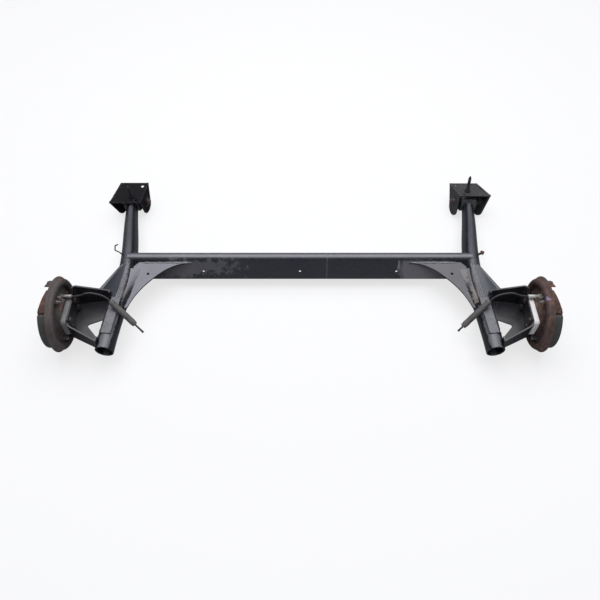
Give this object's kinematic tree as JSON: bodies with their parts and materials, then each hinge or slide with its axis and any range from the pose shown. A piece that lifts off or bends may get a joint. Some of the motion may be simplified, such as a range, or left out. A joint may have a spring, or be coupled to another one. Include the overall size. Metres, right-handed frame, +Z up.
{
  "type": "rear axle beam",
  "caption": "Twist-beam rear axle: tubular trailing arms joined by an inverted-V cross beam, with rubber bushed body brackets and drum brakes shown without their drums.",
  "frame": {"origin": "on the floor, under the middle of the axle's footprint, as it rests on its backing plates and bracket feet", "axes": "+X to the car's right, +Y to the front of the car, +Z up"},
  "size_m": [1.57, 0.7039, 0.23],
  "materials": {
    "axle_paint": "gloss black, chipped and dusty",
    "bracket_paint": "worn black with rust at the bolts",
    "plate_paint": "worn grey",
    "backing_steel": "old paint with rust",
    "shoe_steel": "rusty",
    "lining": "friction material, worn",
    "bearing_steel": "ground, oiled",
    "zinc_steel": "zinc plated, dulled",
    "cast": "as cast",
    "rubber": "matt black",
    "cable_cover": "black cover",
    "spring_steel": "dark spring steel"
  },
  "bodies": {
    "axle": {"crossbeam": "axle_paint", "trailing_arm_right": "axle_paint", "trailing_arm_left": "axle_paint", "bush_housing_right": "axle_paint", "bush_housing_left": "axle_paint", "bush_rubber_right": "rubber", "bush_rubber_left": "rubber", "gusset_right": "axle_paint", "gusset_left": "axle_paint", "hub_bracket_right": "axle_paint", "hub_bracket_left": "axle_paint", "hub_plate_right": "plate_paint", "hub_plate_left": "plate_paint", "brace_right": "axle_paint", "brace_left": "axle_paint", "backing_plate_right": "backing_steel", "backing_plate_left": "backing_steel", "stub_axle_right": "bearing_steel", "stub_axle_left": "bearing_steel", "wheel_cylinder_right": "cast", "wheel_cylinder_left": "cast", "anchor_block_right": "cast", "anchor_block_left": "cast", "adjuster_strut_right": "zinc_steel", "adjuster_strut_left": "zinc_steel", "return_springs_right": "spring_steel", "return_springs_left": "spring_steel", "cable_ferrule_right": "zinc_steel", "cable_ferrule_left": "zinc_steel", "handbrake_cable_right": "cable_cover", "handbrake_cable_left": "cable_cover", "cable_sleeve_right": "rubber", "cable_sleeve_left": "rubber", "cable_wire_right": "spring_steel", "cable_wire_left": "spring_steel", "hub_bolts": "zinc_steel", "cylinder_boots": "rubber", "bleed_fittings": "zinc_steel", "plate_plugs": "rubber", "hold_downs": "zinc_steel", "pipe_hook_left": "zinc_steel", "clip_bolt_right": "zinc_steel"},
    "bracket_right": {"mounting_bracket_right": "bracket_paint", "body_stud_right": "zinc_steel", "pivot_bolt_right": "zinc_steel", "pivot_nut_right": "zinc_steel", "bush_sleeve_right": "zinc_steel"},
    "rear_shoe_right": {"rear_shoe_right": "shoe_steel", "rear_lining_right": "lining"},
    "front_shoe_right": {"front_shoe_right": "shoe_steel", "front_lining_right": "lining"},
    "bracket_left": {"mounting_bracket_left": "bracket_paint", "body_stud_left": "zinc_steel", "pivot_bolt_left": "zinc_steel", "pivot_nut_left": "zinc_steel", "bush_sleeve_left": "zinc_steel"},
    "rear_shoe_left": {"rear_shoe_left": "shoe_steel", "rear_lining_left": "lining"},
    "front_shoe_left": {"front_shoe_left": "shoe_steel", "front_lining_left": "lining"}
  },
  "joints": [
    {"name": "bush_right", "type": "hinge", "parent": "axle", "child": "bracket_right", "pos_m": [0.6, 0.2931, 0.052], "axis": [1, 0, 0], "range_deg": [-6, 30], "stiffness_Nm_per_rad": 60},
    {"name": "rear_shoe_pivot_right", "type": "hinge", "parent": "axle", "child": "rear_shoe_right", "pos_m": [0.7388, -0.2492, 0.041], "axis": [1, 0, 0], "range_deg": [0, 1.5], "stiffness_Nm_per_rad": 60, "springref_deg": -2.86, "deforming": ["return_springs_right"]},
    {"name": "front_shoe_pivot_right", "type": "hinge", "parent": "axle", "child": "front_shoe_right", "pos_m": [0.7388, -0.2246, 0.041], "axis": [-1, 0, 0], "range_deg": [0, 1.5], "stiffness_Nm_per_rad": 60, "springref_deg": -2.86, "deforming": ["return_springs_right"]},
    {"name": "bush_left", "type": "hinge", "parent": "axle", "child": "bracket_left", "pos_m": [-0.6, 0.2931, 0.052], "axis": [1, 0, 0], "range_deg": [-31, 5], "stiffness_Nm_per_rad": 60},
    {"name": "rear_shoe_pivot_left", "type": "hinge", "parent": "axle", "child": "rear_shoe_left", "pos_m": [-0.7388, -0.2492, 0.041], "axis": [1, 0, 0], "range_deg": [0, 1.5], "stiffness_Nm_per_rad": 60, "springref_deg": -2.86, "deforming": ["return_springs_left"]},
    {"name": "front_shoe_pivot_left", "type": "hinge", "parent": "axle", "child": "front_shoe_left", "pos_m": [-0.7388, -0.2246, 0.041], "axis": [-1, 0, 0], "range_deg": [0, 1.5], "stiffness_Nm_per_rad": 60, "springref_deg": -2.86, "deforming": ["return_springs_left"]}
  ]
}
